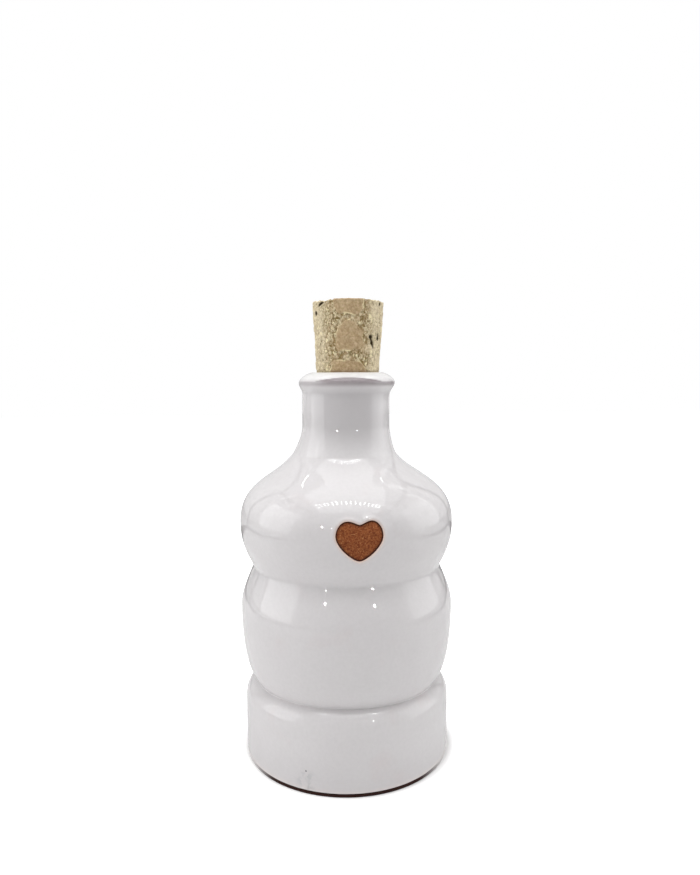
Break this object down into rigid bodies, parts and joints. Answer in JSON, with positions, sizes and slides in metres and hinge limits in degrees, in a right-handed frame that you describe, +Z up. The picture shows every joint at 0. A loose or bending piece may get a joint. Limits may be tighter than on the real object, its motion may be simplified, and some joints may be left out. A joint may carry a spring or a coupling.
{
  "type": "corked ceramic bottle",
  "caption": "Banded earthenware bottle in white glaze with a bare clay heart on its shoulder, a rolled lip and a tapered cork that pulls out of the mouth.",
  "frame": {"origin": "centre of the foot, on the surface that the bottle stands on", "axes": "+Z up the bottle's axis towards the mouth, -Y towards the heart"},
  "size_m": [0.0762, 0.0762, 0.1618],
  "materials": {
    "terracotta": "matt fired clay",
    "white_glaze": "glossy",
    "lining_glaze": "glossy",
    "cork": "granular cork"
  },
  "bodies": {
    "bottle": {"clay_body": "terracotta", "outer_glaze": "white_glaze", "inner_glaze": "lining_glaze"},
    "stopper": {"cork_stopper": "cork"}
  },
  "joints": [
    {"name": "cork_pull", "type": "slide", "parent": "bottle", "child": "stopper", "axis": [0, 0, 1], "range_m": [0, 0.04]}
  ]
}
